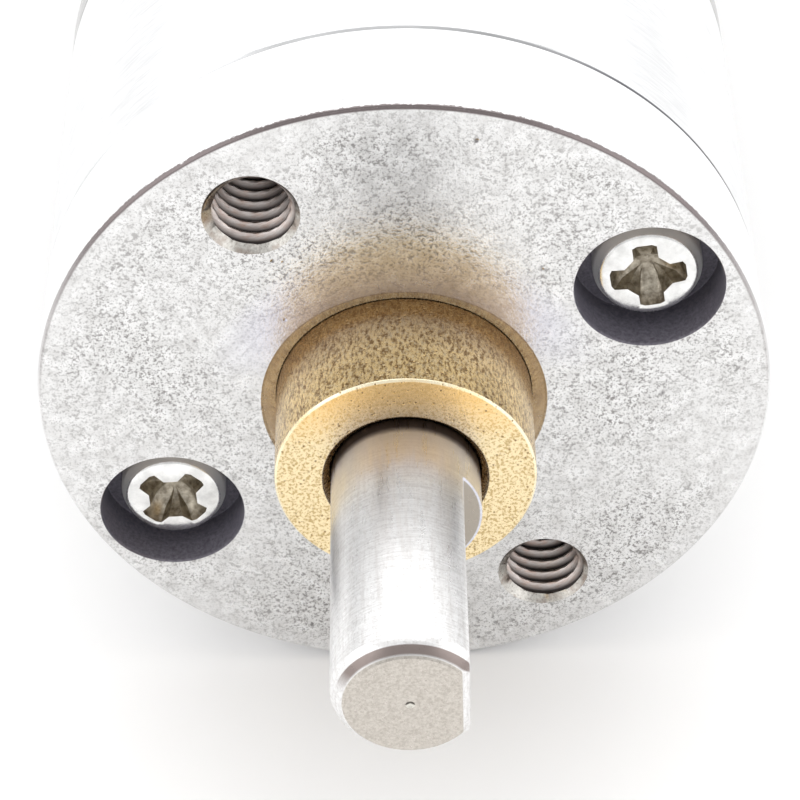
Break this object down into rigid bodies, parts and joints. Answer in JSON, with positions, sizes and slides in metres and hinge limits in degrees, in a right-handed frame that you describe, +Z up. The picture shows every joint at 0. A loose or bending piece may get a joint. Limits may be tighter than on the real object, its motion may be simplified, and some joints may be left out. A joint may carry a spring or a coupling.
{
  "type": "gearmotor",
  "caption": "Small cylindrical spur gearmotor: brushed can motor, three-stage compound gear train and a D-shaped output shaft through a bronze bushing.",
  "frame": {"origin": "centre of the mounting face, on the output shaft's axis", "axes": "-Y along the output shaft, out of the mounting face; +Y from the mounting face through gearbox and motor; +X is the side of the shaft's flat at rest; +Z up"},
  "size_m": [0.02, 0.0577, 0.02],
  "materials": {
    "front_plate": "die-cast zinc, light grey, finely pitted",
    "gearbox_tube": "plated steel, satin",
    "back_plate": "plain steel, satin",
    "bronze": "sintered bronze, matt, oil-darkened pores",
    "ground_steel": "ground",
    "screws": "bright zinc plating",
    "gear_brass": "machined",
    "gear_steel": "machined, oiled",
    "spring_steel": "bright",
    "motor_can": "drawn and zinc-plated",
    "magnet": "sintered ferrite, matt",
    "core": "stacked laminations",
    "winding": "enamelled copper wire",
    "copper": "turned copper",
    "carbon": "pressed carbon",
    "spring_bronze": "rolled",
    "terminal": "tinned",
    "black_plastic": "moulded",
    "nylon": "moulded"
  },
  "bodies": {
    "frame": {"front_plate": "front_plate", "output_bushing": "bronze", "gearbox_housing": "gearbox_tube", "back_plate": "back_plate", "gearbox_screw_1": "screws", "gearbox_screw_2": "screws", "gear_pin_a": "ground_steel", "gear_pin_b": "ground_steel", "pin_a_front_spacer": "spring_steel", "pin_a_washer": "spring_steel", "pin_a_rear_spacer": "spring_steel", "pin_b_front_spacer": "spring_steel", "pin_b_rear_spacer": "spring_steel", "output_thrust_washer": "spring_steel", "motor_screw_1": "screws", "motor_screw_2": "screws", "motor_can": "motor_can", "magnet_left": "magnet", "magnet_right": "magnet", "magnet_clip_top": "spring_steel", "magnet_clip_bottom": "spring_steel", "motor_front_bearing": "bronze", "motor_rear_bearing": "bronze", "end_cap": "black_plastic", "terminal_left": "terminal", "terminal_right": "terminal", "brush_arm_left": "spring_bronze", "brush_arm_right": "spring_bronze", "brush_left": "carbon", "brush_right": "carbon"},
    "output": {"output_shaft": "ground_steel", "output_gear": "gear_steel"},
    "stage_1": {"stage_1_wheel": "gear_brass", "stage_1_pinion": "gear_steel"},
    "stage_2": {"stage_2_wheel": "gear_brass", "stage_2_pinion": "gear_steel"},
    "stage_3": {"stage_3_wheel": "gear_brass", "stage_3_pinion": "gear_steel"},
    "rotor": {"motor_shaft": "ground_steel", "motor_pinion": "gear_brass", "armature_core": "core", "coil_1": "winding", "coil_2": "winding", "coil_3": "winding", "commutator_hub": "black_plastic", "commutator_segment_1": "copper", "commutator_segment_2": "copper", "commutator_segment_3": "copper", "rotor_spacer": "nylon", "rotor_rear_washer": "nylon"}
  },
  "joints": [
    {"name": "rotor_spin", "type": "hinge", "parent": "frame", "child": "rotor", "pos_m": [0, 0.028, 0], "axis": [0, 1, 0], "continuous": true},
    {"name": "stage_1_spin", "type": "hinge", "parent": "frame", "child": "stage_1", "pos_m": [0, 0.0104, 0.00495], "axis": [0, 1, 0], "continuous": true},
    {"name": "stage_2_spin", "type": "hinge", "parent": "frame", "child": "stage_2", "pos_m": [-0.00429, 0.0085, 0.00248], "axis": [0, 1, 0], "continuous": true},
    {"name": "stage_3_spin", "type": "hinge", "parent": "frame", "child": "stage_3", "pos_m": [0, 0.0064, 0.00495], "axis": [0, 1, 0], "continuous": true},
    {"name": "output_spin", "type": "hinge", "parent": "frame", "child": "output", "pos_m": [0, 0, 0], "axis": [0, 1, 0], "continuous": true}
  ],
  "couplings": [
    {"joint": "stage_1_spin", "follows": "rotor_spin", "ratio": -0.375},
    {"joint": "stage_2_spin", "follows": "rotor_spin", "ratio": 0.14062},
    {"joint": "stage_3_spin", "follows": "rotor_spin", "ratio": -0.052734},
    {"joint": "output_spin", "follows": "rotor_spin", "ratio": 0.019775}
  ]
}
